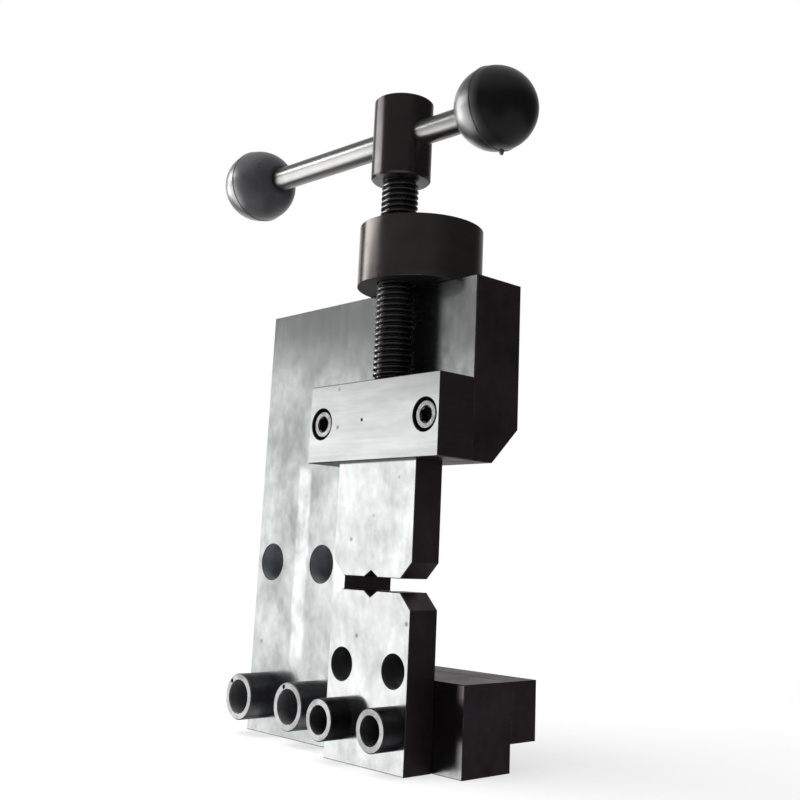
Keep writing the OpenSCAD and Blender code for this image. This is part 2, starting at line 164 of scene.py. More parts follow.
def object_axes(tree):
    return add_node(tree, "ShaderNodeSeparateXYZ", {0: object_place(tree)}).outputs


def face_mark(tree, name):
    """What a mesh marks on its faces under the name."""
    return add_node(tree, "ShaderNodeAttribute", attribute_name=name, attribute_type="GEOMETRY").outputs["Fac"]


def new_group(name, answer, **inputs):
    """A shader group that answers with one number. Each input is a number or a vector, as its default is."""
    group = bpy.data.node_groups.new(name, "ShaderNodeTree")
    for label, value in inputs.items():
        kind = "NodeSocketVector" if isinstance(value, tuple) else "NodeSocketFloat"
        socket = group.interface.new_socket(label.replace("_", " "), in_out="INPUT", socket_type=kind)
        socket.default_value = value
    group.interface.new_socket(answer, in_out="OUTPUT", socket_type="NodeSocketFloat")
    return group, add_node(group, "NodeGroupInput").outputs, add_node(group, "NodeGroupOutput")


def use_group(tree, group, **values):
    fed = {name.replace("_", " "): value for name, value in values.items()}
    return add_node(tree, "ShaderNodeGroup", fed, node_tree=group).outputs[0]


def stretched_noise(tree, stretch, scale, detail=4.0, rough=0.55, lean=0.0):
    """Noise on Object coordinates, leaned over in the front plane and squeezed or drawn out along the axes."""
    leaned = add_node(tree, "ShaderNodeVectorRotate", {"Vector": object_place(tree), "Angle": lean},
                      rotation_type="Y_AXIS")
    drawn = vectors(tree, "MULTIPLY", leaned.outputs[0], stretch)
    return add_node(tree, "ShaderNodeTexNoise", {
        "Vector": drawn, "Scale": scale, "Detail": detail, "Roughness": rough}).outputs["Fac"]


def oxide_clouds_group():
    """Uneven blackening: broad clouds broken up by smaller blotches."""
    group, given, result = new_group(
        "oxide_clouds", "Clouds", Size=45.0, Stretch=(1, 1, 1), Contrast=1.0, Lean=0.0)
    finer, broad_share, small_share, reach, middle = 4.3, 0.68, 0.32, 2.2, 0.5
    broad = stretched_noise(group, given["Stretch"], given["Size"], lean=given["Lean"])
    small = stretched_noise(group, given["Stretch"], times(group, given["Size"], finer), lean=given["Lean"])
    both = plus(group, times(group, broad, broad_share), times(group, small, small_share))
    away = times(group, minus(group, both, middle), given["Contrast"], reach)
    feed(group, result, {0: maths(group, "ADD", away, middle, clamp=True)})
    return group


def grinding_group():
    """Fine lines left by the grinder or the lathe, drawn out along one direction."""
    group, given, result = new_group("grinding_lines", "Lines", Stretch=(1, 1, 1), Count=900.0)
    coarser, fine_share, broad_share = 0.21, 0.6, 0.4
    fine = stretched_noise(group, given["Stretch"], given["Count"], 2.0, 0.6)
    broad = stretched_noise(group, given["Stretch"], times(group, given["Count"], coarser), 2.0)
    feed(group, result, {0: plus(group, times(group, fine, fine_share), times(group, broad, broad_share))})
    return group


def edge_rub_group():
    """Edges rubbed bright: the mesh marks its small chamfers, and noise breaks the rubbing up."""
    group, given, result = new_group("edge_rub", "Rub", Amount=0.6)
    kept, rubbed = 0.36, 0.62
    broken = ramped(group, stretched_noise(group, (1, 1, 1), 260.0), kept, rubbed)
    feed(group, result, {0: times(group, face_mark(group, "edge_rub"), broken, given["Amount"])})
    return group


def pits_group():
    """Sparse dark specks, each at a random spot."""
    group, given, result = new_group("pits", "Pits", Size=150.0, Share=0.08)
    outside, inside = 0.2, 0.05
    cells = add_node(group, "ShaderNodeTexVoronoi", {"Vector": object_place(group), "Scale": given["Size"]},
                     feature="F1")
    tone = add_node(group, "ShaderNodeSeparateColor", {"Color": cells.outputs["Color"]}).outputs[0]
    near = ramped(group, cells.outputs["Distance"], outside, inside)
    feed(group, result, {0: times(group, maths(group, "LESS_THAN", tone, given["Share"]), near)})
    return group


def grind_and_sheen_face_group():
    """One where a face looks the given way, as the ground faces do to the front. The finishes give these faces
    their own roughness and a lighter colour, which is partly painted reflection.
    """
    group, given, result = new_group("grind_and_sheen_face", "Front", Way=FRONT)
    askew, straight = 0.93, 0.99
    normal = add_node(group, "ShaderNodeNewGeometry").outputs["True Normal"]
    along = vectors(group, "DOT_PRODUCT", normal, given["Way"])
    feed(group, result, {0: ramped(group, along, askew, straight)})
    return group


def painted_streak_group():
    """An upright streak with wavy edges, between two heights, in which a finish paints highlights and dark
    reflections.
    """
    group, given, result = new_group(
        "painted_streak", "Painted", Middle=0.0, Half_Width=0.002, Low=0.0, High=0.1, Lean=0.0)
    wander_reach, ragged_reach, top_fade, foot_fade = 0.003, 0.0012, 0.004, 0.012
    outside, inside = 1.3, 0.7
    point = object_axes(group)
    wander = minus(group, stretched_noise(group, (0.2, 0.2, 1.0), 55.0, 2.0), 0.5)
    ragged = minus(group, stretched_noise(group, (1, 1, 1), 160.0, 3.0), 0.5)
    above_foot = minus(group, point["Z"], given["Low"])
    below_top = minus(group, given["High"], point["Z"])
    middle = plus(group, given["Middle"], times(group, above_foot, given["Lean"]),
                  times(group, wander, wander_reach))
    off = maths(group, "ABSOLUTE", minus(group, point["X"], middle))
    off = plus(group, off, times(group, ragged, ragged_reach))
    across = ramped(group, maths(group, "DIVIDE", off, given["Half Width"]), outside, inside)
    ends = times(group, ramped(group, below_top, 0.0, top_fade), ramped(group, above_foot, 0.0, foot_fade))
    feed(group, result, {0: times(group, across, ends)})
    return group


def crest_rub_group():
    """One out at the thread's crest, which the nut keeps bright."""
    group, given, result = new_group("crest_rub", "Rub", Crest=0.006)
    flank, crest = 0.5 * MM, 0.1 * MM
    aside = vectors(group, "SUBTRACT", object_place(group), (0, SCREW_Y * MM, 0))
    out = vectors(group, "LENGTH", vectors(group, "MULTIPLY", aside, (1, 1, 0)))
    feed(group, result, {0: ramped(group, minus(group, given["Crest"], out), flank, crest)})
    return group


CLOUDS, GRINDING, EDGE_RUB, PITS = oxide_clouds_group(), grinding_group(), edge_rub_group(), pits_group()
GRIND_AND_SHEEN_FACE, PAINTED_STREAK, CREST_RUB = grind_and_sheen_face_group(), painted_streak_group(), crest_rub_group()


# Finishes

SIDE_BLACK, TURNED_BLACK, HUB_BLACK = (0.075, 0.059, 0.067), (0.082, 0.074, 0.07), (0.062, 0.056, 0.054)
THREAD_BLACK, BUSH_BLACK, SCREW_BLACK = (0.048, 0.044, 0.045), (0.04, 0.037, 0.041), (0.05, 0.05, 0.05)
PIT_BLACK, BORE_BLACK = (0.03, 0.03, 0.03), (0.04, 0.04, 0.043)
# The greys on the next three lines tone faces that look one way. They are lighter than the sides partly through a
# finer grind and partly as painted reflection. On the nut's and hub's undersides they are wholly painted
# reflection of the floor.
GRIND_AND_SHEEN_GREY, JAW_GREY, RETAINER_GREY = (0.166, 0.175, 0.172), (0.225, 0.232, 0.229), (0.201, 0.208, 0.205)
NUT_GREY, HUB_GREY = (0.12, 0.112, 0.11), (0.3, 0.292, 0.3)
RIM_GREY, SCREW_GREY = (0.165, 0.168, 0.163), (0.16, 0.165, 0.16)
# The first grey on the next line colours rubbed edges, and also the plate's painted highlight streaks
WORN_AND_HIGHLIGHT_GREY, TURNED_RUB = (0.265, 0.272, 0.27), (0.26, 0.25, 0.24)
BUSH_RUB, CREST_RUB_GREY = (0.2, 0.2, 0.19), (0.115, 0.112, 0.11)
LEVEL_LINES = (0.03, 0.03, 1.0)


def new_finish(name):
    finish = bpy.data.materials.new(name)
    finish.use_nodes = True
    return finish, finish.node_tree, finish.node_tree.nodes["Principled BSDF"]


def bumped(tree, surface, height, strength, distance):
    bump = add_node(tree, "ShaderNodeBump", {"Height": height, "Strength": strength, "Distance": distance})
    feed(tree, surface, {"Normal": bump.outputs[0]})


def blackened_steel(name, dark, grind_and_sheen, rubbed, lines, clouds_size=45.0, clouds_stretch=(1, 1, 1), contrast=1.0,
                    side_rough=0.36, front_rough=0.15, pit_share=0.07, rub=0.22, lean=0.0, grain=0.4,
                    painted_streaks=(), way=FRONT, bored=BORE_BLACK, crest_r=None):
    """Oiled black oxide over ground or turned steel. Faces that look the given way are ground finer, and are
    lighter partly as painted reflection.

    Walls that the mesh marks as bored have the dull tone bored, and what lies out at crest_r from the screw's
    axis is rubbed.
    """
    line_count, pit_size, streak_share, pit_depth, wall_dull = 900.0, 170.0, 0.95, 0.7, 0.65
    line_depth, wave_strength, wave_high = 0.1, 0.3, 0.06 * MM
    finish, tree, surface = new_finish(name)
    clouds = use_group(tree, CLOUDS, Size=clouds_size, Stretch=clouds_stretch, Contrast=contrast, Lean=lean)
    scratch = use_group(tree, GRINDING, Stretch=lines, Count=line_count)
    front = use_group(tree, GRIND_AND_SHEEN_FACE, Way=way)
    pits = use_group(tree, PITS, Size=pit_size, Share=pit_share)
    worn = use_group(tree, EDGE_RUB, Amount=rub)
    wall = face_mark(tree, "bored")
    base = blend_colour(tree, wall, blend_colour(tree, front, dark, grind_and_sheen), bored)
    # Streaks of painted highlight and painted dark reflection, laid over the base colour
    for colour, streak in painted_streaks:
        mark = times(tree, use_group(tree, PAINTED_STREAK, **streak), front, streak_share)
        base = blend_colour(tree, mark, base, colour)
    shade = plus(tree, spread(tree, clouds, 0.62, 1.3), times(tree, minus(tree, scratch, 0.5), grain))
    tone = add_node(tree, "ShaderNodeCombineColor", {0: shade, 1: shade, 2: shade})
    base = blend_colour(tree, 1.0, base, tone.outputs[0], "MULTIPLY")
    if crest_r:
        worn = most(tree, worn, use_group(tree, CREST_RUB, Crest=crest_r))
    base = blend_colour(tree, worn, base, rubbed)
    base = blend_colour(tree, times(tree, pits, pit_depth), base, PIT_BLACK)
    level = plus(tree, spread(tree, front, side_rough, front_rough), spread(tree, clouds, 0.05, -0.05))
    level = maths(tree, "ADD", level, ramped(tree, scratch, 0.2, 0.8, -0.03, 0.04, False), clamp=True)
    feed(tree, surface, {
        "Base Color": base, "Roughness": level, "Specular Tint": (0.6, 0.6, 0.6, 1),
        "Metallic": minus(tree, spread(tree, front, 0.92, 0.97), times(tree, wall, wall_dull))})
    bumped(tree, surface, plus(tree, times(tree, scratch, line_depth), clouds), wave_strength, wave_high)
    return finish


# Painted on the plate's front: a painted highlight in a tall streak beside the jaws and in a patch at their
# corner, and a painted dark reflection of the jaw's side on the lower arm's face
PLATE_PAINTED_STREAKS = (
    (WORN_AND_HIGHLIGHT_GREY, dict(Middle=-0.0542, Half_Width=0.0037, Low=0.024, High=0.1, Lean=-0.014)),
    (WORN_AND_HIGHLIGHT_GREY, dict(Middle=-0.0315, Half_Width=0.0034, Low=0.047, High=0.071, Lean=0.0)),
    (SIDE_BLACK, dict(Middle=0.032, Half_Width=0.0135, Low=0.0, High=0.036, Lean=0.0)),
)
# The plate's bore walls take a light bluish grey: painted light in the holes
plate_finish = blackened_steel(
    "plate_oxide", SIDE_BLACK, GRIND_AND_SHEEN_GREY, WORN_AND_HIGHLIGHT_GREY, (1.0, 0.03, 0.05), clouds_size=56.0,
    clouds_stretch=(1.15, 1, 0.8), contrast=1.5, front_rough=0.2, lean=0.15, grain=0.12, painted_streaks=PLATE_PAINTED_STREAKS,
    bored=(0.21, 0.225, 0.25))
jaw_finish = blackened_steel(
    "jaw_oxide", SIDE_BLACK, JAW_GREY, WORN_AND_HIGHLIGHT_GREY, (1.0, 0.03, 0.06), clouds_size=66.0,
    clouds_stretch=(1.2, 1, 0.85), pit_share=0.11, lean=0.3, grain=0.15)
retainer_finish = blackened_steel(
    "retainer_oxide", SIDE_BLACK, RETAINER_GREY, WORN_AND_HIGHLIGHT_GREY, LEVEL_LINES, clouds_size=40.0,
    clouds_stretch=(0.5, 1, 1.6), contrast=0.6)
# Turned parts take their lighter tone on the faces that look down: painted reflection of the floor
TURNED = dict(clouds_size=55.0, contrast=0.7, side_rough=0.21, rub=0.12, way=DOWN)
turned_finish = blackened_steel(
    "turned_oxide", TURNED_BLACK, NUT_GREY, TURNED_RUB, LEVEL_LINES, front_rough=0.5, **TURNED)
hub_finish = blackened_steel("hub_oxide", HUB_BLACK, HUB_GREY, TURNED_RUB, LEVEL_LINES, front_rough=0.3, **TURNED)
thread_finish = blackened_steel(
    "thread_oxide", THREAD_BLACK, THREAD_BLACK, CREST_RUB_GREY, (1.0, 1.0, 0.2), clouds_size=90.0, contrast=0.8,
    side_rough=0.26, front_rough=0.26, crest_r=THREAD_R * MM)
BUSH = dict(lines=(0.5, 1.0, 0.5), clouds_size=150.0, contrast=1.2, side_rough=0.33, front_rough=0.26)
# The spine bushes are the same steel as the jaw bushes; their lighter sides and bluish grey bores are painted
# light
spine_bush_finish = blackened_steel(
    "spine_bush_oxide", (0.15, 0.15, 0.165), RIM_GREY, BUSH_RUB, bored=(0.12, 0.12, 0.135), **BUSH)
jaw_bush_finish = blackened_steel("jaw_bush_oxide", BUSH_BLACK, RIM_GREY, BUSH_RUB, **BUSH)
screw_head_finish = blackened_steel(
    "cap_screw_oxide", SCREW_BLACK, SCREW_GREY, BUSH_RUB, (0.4, 0.4, 0.4), clouds_size=420.0, contrast=1.5,
    front_rough=0.26, rub=0.1)


def polished_bar():
    """Drawn and polished rod: bright, with faint rings and finger smears."""
    finish, tree, surface = new_finish("polished_bar")
    rings = use_group(tree, GRINDING, Stretch=(1.0, 0.05, 0.05), Count=700.0)
    smears = use_group(tree, CLOUDS, Size=70.0, Stretch=(0.35, 1, 1), Contrast=1.2)
    level = maths(tree, "ADD", spread(tree, smears, 0.32, 0.26),
                  ramped(tree, rings, 0.2, 0.8, -0.02, 0.05, False), clamp=True)
    feed(tree, surface, {
        "Base Color": blend_colour(tree, smears, (0.26, 0.258, 0.25), (0.33, 0.327, 0.317)), "Metallic": 1.0,
        "Roughness": level})
    bumped(tree, surface, rings, 0.12, 0.03 * MM)
    return finish


def knob_plastic(name, ridge_at, deep, dust_and_haze, coat, fade, rim):
    """Moulded plastic with slight ripples and scuffs, glossier before the ridge at ridge_at along X.

    The gloss fades out over the length fade behind the ridge, and falls to rim towards the knob's left end.
    """
    finish, tree, surface = new_finish(name)
    behind_ridge, worn_from, worn_to = 0.4 * MM, 4.5 * MM, 0.5 * MM
    scuffs = use_group(tree, CLOUDS, Size=60.0, Stretch=(1, 1, 1), Contrast=1.3)
    along = object_axes(tree)["X"]
    gloss = ramped(tree, along, ridge_at + behind_ridge, ridge_at + fade, 1.0, 0.0, False)
    worn = ramped(tree, along, ridge_at - worn_from, ridge_at + worn_to, rim, 1.0)
    feed(tree, surface, {
        "Base Color": blend_colour(tree, scuffs, deep, dust_and_haze), "Roughness": spread(tree, scuffs, 0.26, 0.36),
        "Coat Weight": times(tree, gloss, worn), "Coat IOR": coat, "Coat Roughness": 0.42,
        "Specular IOR Level": 0.18})
    bumped(tree, surface, stretched_noise(tree, (1, 1, 1), 420.0, 3.0), 0.12, 0.04 * MM)
    return finish


bar_finish = polished_bar()
KNOB_PLACES = [BAR_MIDDLE - BAR_SPAN / 2, BAR_MIDDLE + BAR_SPAN / 2]
# Both knobs are the same black plastic: the left one's lighter tones are painted haze, and the right one's deeper
# black is painted shade
knob_finishes = (
    knob_plastic("knob_plastic_left", KNOB_PLACES[0] * MM, (0.036, 0.036, 0.041), (0.06, 0.06, 0.067),
                 coat=1.9, fade=0.011, rim=0.22),
    knob_plastic("knob_plastic_right", KNOB_PLACES[1] * MM, (0.003, 0.0028, 0.003), (0.007, 0.0062, 0.0068),
                 coat=2.0, fade=0.0045, rim=1.0),
)


# Mesh helpers

def in_scene(name, data):
    thing = bpy.data.objects.new(name, data)
    bpy.context.scene.collection.objects.link(thing)
    return thing


def evaluated_mesh(carrier):
    graph = bpy.context.evaluated_depsgraph_get()
    return bpy.data.meshes.new_from_object(
        carrier.evaluated_get(graph), preserve_all_data_layers=True, depsgraph=graph)


def on_circle(centre, radius, angle):
    return centre[0] + radius * math.cos(angle), centre[1] + radius * math.sin(angle)


def ring(radius, centre=(0.0, 0.0), steps=96):
    return [on_circle(centre, radius, 2 * math.pi * i / steps) for i in range(steps)]


def quarter(centre, radius, start, steps=10):
    """Points of a quarter round, anticlockwise from the start angle in degrees."""
    return [on_circle(centre, radius, math.radians(start + 90 * i / steps)) for i in range(steps + 1)]


ALONG_Y = Matrix(((1, 0, 0, 0), (0, 0, -1, 0), (0, 1, 0, 0), (0, 0, 0, 1)))
ALONG_Z = Matrix.Identity(4)
ALONG_X = Matrix(((0, 0, 1, 0), (1, 0, 0, 0), (0, 1, 0, 0), (0, 0, 0, 1)))


def mark_layers(shape):
    """Layers for the marks on faces that the finishes read."""
    return [shape.faces.layers.float.new(name) for name in ("edge_rub", "bored")]


def prism_mesh(name, outline, holes, low, high, along, edge):
    """A straight block with a flat outline and holes, from low to high along an axis, its rims chamfered by edge.

    ALONG_Y reads the outline as (x, z), ALONG_Z as (x, y) and ALONG_X as (y, z).
    """
    curve = bpy.data.curves.new(name, "CURVE")
    curve.dimensions, curve.fill_mode = "2D", "BOTH"
    curve.extrude, curve.bevel_depth, curve.bevel_resolution = (high - low) / 2 - edge, edge, 0
    curve.offset = -edge
    for loop in [outline, *holes]:
        spline = curve.splines.new("POLY")
        spline.points.add(len(loop) - 1)
        for point, (u, v) in zip(spline.points, loop):
            point.co = (u, v, 0, 1)
        spline.use_cyclic_u = True
    carrier = in_scene(name, curve)
    mesh = evaluated_mesh(carrier)
    bpy.data.objects.remove(carrier)
    bpy.data.curves.remove(curve)
    middle = (low + high) / 2
    lift = Matrix.Translation((0, 0, -middle if along is ALONG_Y else middle))
    mesh.transform(Matrix.Scale(MM, 4) @ along @ lift)
    shape = bmesh.new()
    shape.from_mesh(mesh)
    bmesh.ops.remove_doubles(shape, verts=shape.verts, dist=1e-7)
    bmesh.ops.recalc_face_normals(shape, faces=shape.faces)
    rub, wall = mark_layers(shape)
    turn = along.to_3x3()
    axis = turn @ Vector((0, 0, 1))
    bores = [turn @ (sum((Vector((u, v, 0)) for u, v in hole), Vector()) / len(hole)) * MM for hole in holes]
    side_most, end_least, straight_in = 0.3, 0.95, 0.98
    for face in shape.faces:
        across = abs(face.normal.dot(axis))
        face[rub] = 1.0 if side_most < across < end_least else 0.0
        ways = [bore - face.calc_center_median() for bore in bores]
        inward = [face.normal.dot(way) - way.cross(axis).length * straight_in for way in ways]
        face[wall] = 1.0 if across < side_most and max(inward, default=-1.0) > 0 else 0.0
    shape.to_mesh(mesh)
    shape.free()
    return mesh


def turned_mesh(name, profile, place, loop=False, steps=128, bore_r=0.0):
    """A turned piece from (radius, height) points in millimetres, put in its place by a matrix in metres."""
    shape = bmesh.new()
    rub, wall = mark_layers(shape)
    rings = []
    for radius, height in profile:
        if radius < 1e-6:
            rings.append([shape.verts.new((0, 0, height))])
        else:
            rings.append([shape.verts.new((u, v, height)) for u, v in ring(radius, steps=steps)])
    pairs = list(zip(range(len(profile)), range(1, len(profile))))
    if loop:
        pairs.append((len(profile) - 1, 0))
    longest, least = 0.9, 0.1
    for i, j in pairs:
        a, b = rings[i], rings[j]
        (ra, ha), (rb, hb) = profile[i], profile[j]
        small = math.hypot(ra - rb, ha - hb) < longest and abs(ra - rb) > least and abs(ha - hb) > least
        for k in range(steps):
            n = (k + 1) % steps
            corners = [a[k % len(a)], a[n % len(a)], b[n % len(b)], b[k % len(b)]]
            face = shape.faces.new(list(dict.fromkeys(corners)))
            face[rub] = 1.0 if small else 0.0
            face[wall] = 1.0 if bore_r and ra == rb == bore_r else 0.0
    bmesh.ops.recalc_face_normals(shape, faces=shape.faces)
    mesh = bpy.data.meshes.new(name)
    shape.to_mesh(mesh)
    shape.free()
    mesh.transform(place @ Matrix.Scale(MM, 4))
    return mesh


def plug_mesh(name, radius, low, high, place, steps=128):
    """A plain round tool, to cut a bore with."""
    return turned_mesh(name, [(0, low), (radius, low), (radius, high), (0, high)], place, steps=steps)


def turned_by(angle, axis):
    return Matrix.Rotation(angle, 4, axis)


def standing(x, y, z):
    return Matrix.Translation((x * MM, y * MM, z * MM))


def facing_front(x, y, z):
    """Place for a thing drawn along its own height that looks to the front, with its foot at the point."""
    return standing(x, y, z) @ turned_by(math.radians(90), "X")


def along_bar(distance):
    """Place for a thing drawn along its own height that lies on the bar's axis, pointing to the right."""
    middle = standing(0, SCREW_Y, BAR_Z) @ turned_by(BAR_TURN, "Z")
    return middle @ standing(distance, 0, 0) @ turned_by(math.radians(90), "Y")


def cut_away(mesh, name, tools):
    """Takes the tool meshes out of a mesh and gives the result as a new mesh."""
    carrier = in_scene(name, mesh)
    cutters = []
    for index, tool in enumerate(tools):
        cutters.append(in_scene(f"{name}_tool_{index}", tool))
        modifier = carrier.modifiers.new(f"cut_{index}", "BOOLEAN")
        modifier.operation, modifier.solver, modifier.object = "DIFFERENCE", "EXACT", cutters[-1]
    result = evaluated_mesh(carrier)
    for spare in [carrier, *cutters]:
        bpy.data.objects.remove(spare)
    return result


SHARP_EDGE = math.radians(25)


def put_in(mesh, name, finish, body, slot, *replaced):
    """Makes the mesh, smooth but for its sharp edges, a piece of the object in place of its CAD nodes."""
    mesh.materials.clear()
    mesh.materials.append(finish)
    mesh.polygons.foreach_set("use_smooth", [True] * len(mesh.polygons))
    mesh.set_sharp_from_angle(angle=SHARP_EDGE)
    piece = in_scene(name, mesh)
    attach(piece, body)
    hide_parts(*replaced)


# Back plate: C outline with round throat corners, two spine holes, a bevel behind the upper arm
throat_left = THROAT_LEFT + THROAT_ROUND
plate_outline = [
    (PLATE_LEFT, 0), (PLATE_RIGHT, 0), (PLATE_RIGHT, LOWER_ARM_TOP),
    *reversed(quarter((throat_left, LOWER_ARM_TOP + THROAT_ROUND), THROAT_ROUND, 180)),
    *reversed(quarter((throat_left, UPPER_ARM_FOOT - THROAT_ROUND), THROAT_ROUND, 90)),
    (PLATE_RIGHT, UPPER_ARM_FOOT), (PLATE_RIGHT, PLATE_TOP), (PLATE_LEFT, PLATE_TOP),
]
spine_holes = [ring(SPINE_HOLE_R, (x, SPINE_HOLE_Z)) for x in SPINE_HOLES]
plate = prism_mesh("plate", plate_outline, spine_holes, PLATE_FRONT, PLATE_BACK, ALONG_Y, EDGE)
over = 1.0
bevel_tool = prism_mesh("bevel_tool", [
    (PLATE_BACK + over, UPPER_ARM_FOOT - over), (PLATE_BACK + over, UPPER_ARM_FOOT + ARM_BEVEL + over),
    (PLATE_BACK - ARM_BEVEL - over, UPPER_ARM_FOOT - over)], [], THROAT_LEFT, PLATE_RIGHT + over, ALONG_X, 0.0)
put_in(cut_away(plate, "plate", [bevel_tool]), "plate_body", plate_finish, "frame", "black_steel", "back_plate")

# Heel: a bar across the back with room for four sunk screw heads
heel_outline = [(PLATE_LEFT, HEEL_STEP), (PLATE_RIGHT, HEEL_STEP), (PLATE_RIGHT, LOWER_ARM_TOP),
                (PLATE_LEFT, LOWER_ARM_TOP)]
heel_holes = [ring(COUNTERBORE_R, place) for place in HEEL_SCREWS + JAW_SCREWS]
heel = prism_mesh("heel", heel_outline, heel_holes, PLATE_BACK, HEEL_BACK, ALONG_Y, FINE_EDGE)
put_in(heel, "heel_body", plate_finish, "frame", "black_steel", "heel_block")


# Jaws: bevelled corners and a V notch where they meet
def jaw_outline(foot, top):
    """Outline from the flat end at foot to the notched end at top."""
    way = 1 if top > foot else -1
    points = [
        (-JAW_HALF, foot), (JAW_HALF, foot), (JAW_HALF, top - way * JAW_BEVEL), (JAW_HALF - JAW_BEVEL, top),
        (VEE_HALF, top), (0, top - way * VEE_DEEP), (-VEE_HALF, top), (-JAW_HALF + JAW_BEVEL, top),
        (-JAW_HALF, top - way * JAW_BEVEL),
    ]
    return points if way > 0 else points[::-1]


jaw_holes = [ring(JAW_HOLE_R, (x, JAW_HOLE_Z)) for x in JAW_HOLES]
lower_jaw = prism_mesh("lower_jaw", jaw_outline(0, LOWER_JAW_TOP), jaw_holes,
                       PLATE_FRONT - JAW_THICK, PLATE_FRONT, ALONG_Y, EDGE)
put_in(lower_jaw, "fixed_jaw", jaw_finish, "frame", "jaw_steel", "lower_jaw")
link_holes = [ring(LINK_PIN_R, (x, LINK_PIN_Z), 48) for x in LINK_PINS]
upper_jaw = prism_mesh("upper_jaw", jaw_outline(UPPER_JAW_TOP, UPPER_JAW_FOOT), link_holes,
                       PLATE_FRONT - SLIDE_GAP - JAW_THICK, PLATE_FRONT - SLIDE_GAP, ALONG_Y, EDGE)
put_in(upper_jaw, "sliding_jaw", jaw_finish, "jaw", "jaw_steel", "upper_jaw")

# Retainer: a channel over the sliding jaw, with two counterbores and a relief for the screw
channel = JAW_HALF + SLIDE_GAP
channel_front = PLATE_FRONT - JAW_THICK - 2 * SLIDE_GAP
retainer_front = PLATE_FRONT - RETAINER_THICK
retainer_outline = [
    (-RETAINER_HALF, retainer_front), (RETAINER_HALF, retainer_front), (RETAINER_HALF, PLATE_FRONT),
    (channel, PLATE_FRONT), (channel, channel_front), (-channel, channel_front), (-channel, PLATE_FRONT),
    (-RETAINER_HALF, PLATE_FRONT),
]
counterbore = [(0, -HEAD_DROP), (COUNTERBORE_R, -HEAD_DROP), (COUNTERBORE_R, -EDGE),
               (COUNTERBORE_R + EDGE + over, over), (0, over)]
retainer_tools = [
    turned_mesh(f"counterbore_{i}", counterbore, facing_front(x, retainer_front, RETAINER_SCREW_Z))
    for i, x in enumerate(RETAINER_SCREWS)]
retainer_tools += [
    turned_mesh("punch_mark", [(0, -PUNCH_DEEP), (PUNCH_R, 0.05), (PUNCH_R, 0.5), (0, 0.5)],
                facing_front(PUNCH_MARK[0], retainer_front, PUNCH_MARK[1]), steps=32),
    plug_mesh("screw_relief", RELIEF_ROUND, 0, RELIEF_HIGH, standing(0, SCREW_Y, RELIEF_FOOT))]
retainer = prism_mesh("retainer", retainer_outline, [], UPPER_ARM_FOOT, RETAINER_TOP, ALONG_Z, RETAINER_EDGE)
put_in(cut_away(retainer, "retainer", retainer_tools), "retainer_body", retainer_finish, "frame", "black_steel",
       "retainer_block")


# Bushes: tubes with chamfered rims, the spine's with a small notch in the rim
def bush_mesh(name, x, seat_y, head_r, head_long, shank_r, shank_long, bore_r, notch_turn=None):
    profile = [
        (bore_r, -shank_long), (shank_r, -shank_long), (shank_r, 0), (head_r, 0), (head_r, head_long - RIM),
        (head_r - RIM, head_long), (bore_r + RIM, head_long), (bore_r, head_long - RIM),
    ]
    place = facing_front(x, seat_y, BUSH_Z)
    mesh = turned_mesh(name, profile, place, loop=True, bore_r=bore_r)
    if notch_turn is None:
        return mesh
    on_rim = turned_by(math.radians(notch_turn), "Z") @ standing((head_r + bore_r) / 2, 0, head_long)
    notch = plug_mesh(name + "_notch", NOTCH_R, -NOTCH_DEEP, NOTCH_DEEP, place @ on_rim, steps=24)
    return cut_away(mesh, name, [notch])


SIDES = ("left", "right")
for side, x, notch_turn in zip(SIDES, SPINE_HOLES, NOTCH_TURNS):
    put_in(bush_mesh(f"spine_tube_{side}", x, PLATE_FRONT, notch_turn=notch_turn, **SPINE_BUSH),
           f"spine_tube_{side}", spine_bush_finish, "frame", "bush_steel", f"spine_bush_{side}")
for side, x in zip(SIDES, JAW_HOLES):
    put_in(bush_mesh(f"jaw_tube_{side}", x, PLATE_FRONT - JAW_THICK, **JAW_BUSH),
           f"jaw_tube_{side}", jaw_bush_finish, "frame", "bush_steel", f"jaw_bush_{side}")

# Nut block: a round block set back from its own bore, held by two sunk screws
nut_holes = [ring(THREAD_R + NUT_PLAY, (0, SCREW_Y)), *[ring(COUNTERBORE_R, (x, 0)) for x in NUT_SCREWS]]
nut = prism_mesh("nut", ring(NUT_R, (0, NUT_Y), 192), nut_holes, PLATE_TOP, NUT_TOP, ALONG_Z, FINE_EDGE)
put_in(nut, "nut_body", turned_finish, "frame", "turned_steel", "screw_nut")

# Hub: turned, cross-drilled for the bar, with a tapped hole at the back
foot_edge, top_edge, bar_play = 0.6, 0.4, 0.12
hub_profile = [(0, 0), (HUB_R - foot_edge, 0), (HUB_R, foot_edge), (HUB_R, HUB_HIGH - top_edge),
               (HUB_R - top_edge, HUB_HIGH), (0, HUB_HIGH)]
bar_bore = plug_mesh("bar_bore", BAR_R + bar_play, -20, 20, along_bar(0))
to_back = turned_by(BAR_TURN, "Z") @ turned_by(math.radians(-90), "X")
grub_bore = plug_mesh("grub_bore", GRUB_R, 4, 20, standing(0, SCREW_Y, HUB_FOOT + GRUB_HIGH) @ to_back, steps=48)
hub = turned_mesh("hub", hub_profile, standing(0, SCREW_Y, HUB_FOOT))
put_in(cut_away(hub, "hub", [bar_bore, grub_bore]), "hub_body", hub_finish, "screw", "turned_steel",
       "handle_hub")

# Bar: a rod with chamfered shoulders and an end that goes into each knob
bar_half = BAR_SPAN / 2 - KNOB_FLAT
right_half = [(BAR_R, bar_half - RIM), (BAR_R - RIM, bar_half), (BAR_END_R, bar_half),
              (BAR_END_R, bar_half + BAR_END_LONG), (0, bar_half + BAR_END_LONG)]
bar_profile = [(r, -height) for r, height in reversed(right_half)] + right_half
put_in(turned_mesh("bar", bar_profile, along_bar(BAR_MIDDLE)), "cross_bar", bar_finish, "handle", "bright_steel",
       "t_bar")


